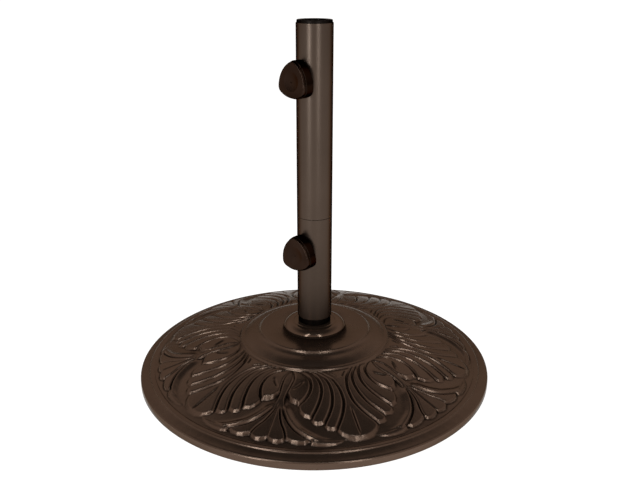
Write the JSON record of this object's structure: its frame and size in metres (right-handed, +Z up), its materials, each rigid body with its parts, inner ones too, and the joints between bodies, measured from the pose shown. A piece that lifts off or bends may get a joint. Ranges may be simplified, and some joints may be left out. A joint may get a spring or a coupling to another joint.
{
  "type": "parasol base",
  "caption": "Round cast-iron parasol base with a raised leaf ornament and a stepped hub, carrying a two-part tubular stem with clamping knobs and a reducer bushing for the pole.",
  "frame": {"origin": "on the stem's axis, on the surface that the base stands on", "axes": "+Z up along the stem; the knobs face -X -Y"},
  "size_m": [0.6096, 0.6096, 0.5988],
  "materials": {
    "bronze_iron": "dark bronze satin powder coat on a rough casting",
    "bronze_collar": "dark bronze semi-gloss coat on a smooth turned ring",
    "bronze_tube": "dark bronze satin powder coat on steel tube",
    "knob_plastic": "black-brown moulded plastic with a fine texture",
    "black_nylon": "plain black moulded nylon",
    "zinc_steel": "zinc-plated steel"
  },
  "bodies": {
    "base": {"base_casting": "bronze_iron", "floor_glides": "black_nylon", "glide_screws": "zinc_steel", "hub_collar": "bronze_collar", "stem_seat_ring": "black_nylon", "stem_foot_plug": "zinc_steel", "base_bolt": "zinc_steel", "base_bolt_washer": "zinc_steel", "base_bolt_lock_washer": "zinc_steel", "lower_stem_tube": "bronze_tube", "coupling_sleeve": "zinc_steel", "lower_weld_nut": "bronze_tube"},
    "upper_stem": {"upper_stem_tube": "bronze_tube", "upper_weld_nut": "bronze_tube"},
    "bushing": {"top_bushing": "black_nylon"},
    "lower_tip": {"lower_stud_tip": "black_nylon"},
    "lower_knob": {"lower_knob_body": "knob_plastic", "lower_knob_cap": "knob_plastic", "lower_knob_stud": "zinc_steel"},
    "upper_tip": {"upper_stud_tip": "black_nylon"},
    "upper_knob": {"upper_knob_body": "knob_plastic", "upper_knob_cap": "knob_plastic", "upper_knob_stud": "zinc_steel"}
  },
  "joints": [
    {"name": "upper_stem_lift", "type": "slide", "parent": "base", "child": "upper_stem", "axis": [0, 0, 1], "range_m": [0, 0.06]},
    {"name": "bushing_lift", "type": "slide", "parent": "upper_stem", "child": "bushing", "axis": [0, 0, 1], "range_m": [0, 0.07]},
    {"name": "lower_tip_travel", "type": "slide", "parent": "base", "child": "lower_tip", "axis": [-0.6293, -0.7771, 0], "range_m": [-0.001, 0.0072]},
    {"name": "lower_knob_turn", "type": "hinge", "parent": "lower_tip", "child": "lower_knob", "pos_m": [0, 0, 0.226], "axis": [-0.6293, -0.7771, 0], "range_deg": [-240, 1728]},
    {"name": "upper_tip_travel", "type": "slide", "parent": "upper_stem", "child": "upper_tip", "axis": [-0.6947, -0.7193, 0], "range_m": [-0.001, 0.0072]},
    {"name": "upper_knob_turn", "type": "hinge", "parent": "upper_tip", "child": "upper_knob", "pos_m": [0, 0, 0.5095], "axis": [-0.6947, -0.7193, 0], "range_deg": [-240, 1728]}
  ],
  "couplings": [
    {"joint": "lower_tip_travel", "follows": "lower_knob_turn", "m_per_rad": 0.00023873},
    {"joint": "upper_tip_travel", "follows": "upper_knob_turn", "m_per_rad": 0.00023873}
  ]
}
